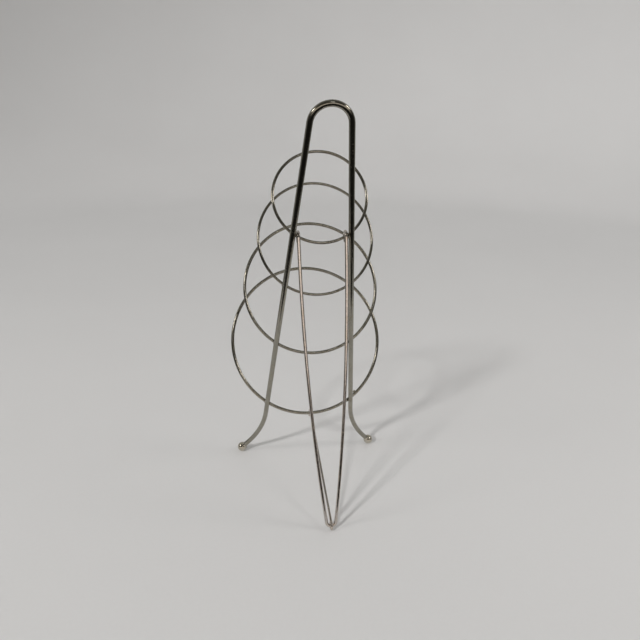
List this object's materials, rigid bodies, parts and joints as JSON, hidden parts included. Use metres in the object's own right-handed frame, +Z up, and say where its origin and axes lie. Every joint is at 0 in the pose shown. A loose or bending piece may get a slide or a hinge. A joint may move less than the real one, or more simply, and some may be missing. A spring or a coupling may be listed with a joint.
{
  "type": "folding wire lid rack",
  "caption": "Leaning wire stand with graded rings welded across two splayed legs, a handle bow on top, and a hairpin prop tied by a thin brace, for holding flat things upright.",
  "frame": {"origin": "on the floor, under the centre of the stand's bounding box", "axes": "+Z up; the rings and the loading side face -Y; the prop stands on the +Y side, the side seen in the picture; +X runs across the feet"},
  "size_m": [0.1838, 0.2176, 0.4257],
  "materials": {
    "frame_metal": "aged bright nickel or chrome plate on steel rod",
    "ring_metal": "aged bright plate on steel wire",
    "prop_metal": "aged bright plate on steel wire, slightly warmer",
    "ball_metal": "polished bright plate",
    "weld_metal": "plated weld beads, duller than the wire"
  },
  "bodies": {
    "rack": {"frame_rod": "frame_metal", "ball_foot_left": "ball_metal", "ball_foot_right": "ball_metal", "ring_1": "ring_metal", "ring_2": "ring_metal", "ring_3": "ring_metal", "ring_4": "ring_metal", "ring_1_welds": "weld_metal", "ring_2_welds": "weld_metal", "ring_3_welds": "weld_metal", "ring_4_welds": "weld_metal"},
    "prop": {"prop": "prop_metal"},
    "brace": {"brace": "prop_metal"}
  },
  "joints": [
    {"name": "prop_fold", "type": "hinge", "parent": "rack", "child": "prop", "pos_m": [0, 0.05696, 0.30547], "axis": [1, 0, 0], "range_deg": [-25, 0]},
    {"name": "brace_swing", "type": "hinge", "parent": "prop", "child": "brace", "pos_m": [-0.01, 0.10405, 0.00475], "axis": [1, 0, 0], "range_deg": [-55, 0]}
  ],
  "couplings": [
    {"joint": "brace_swing", "follows": "prop_fold", "ratio": 2.176}
  ]
}
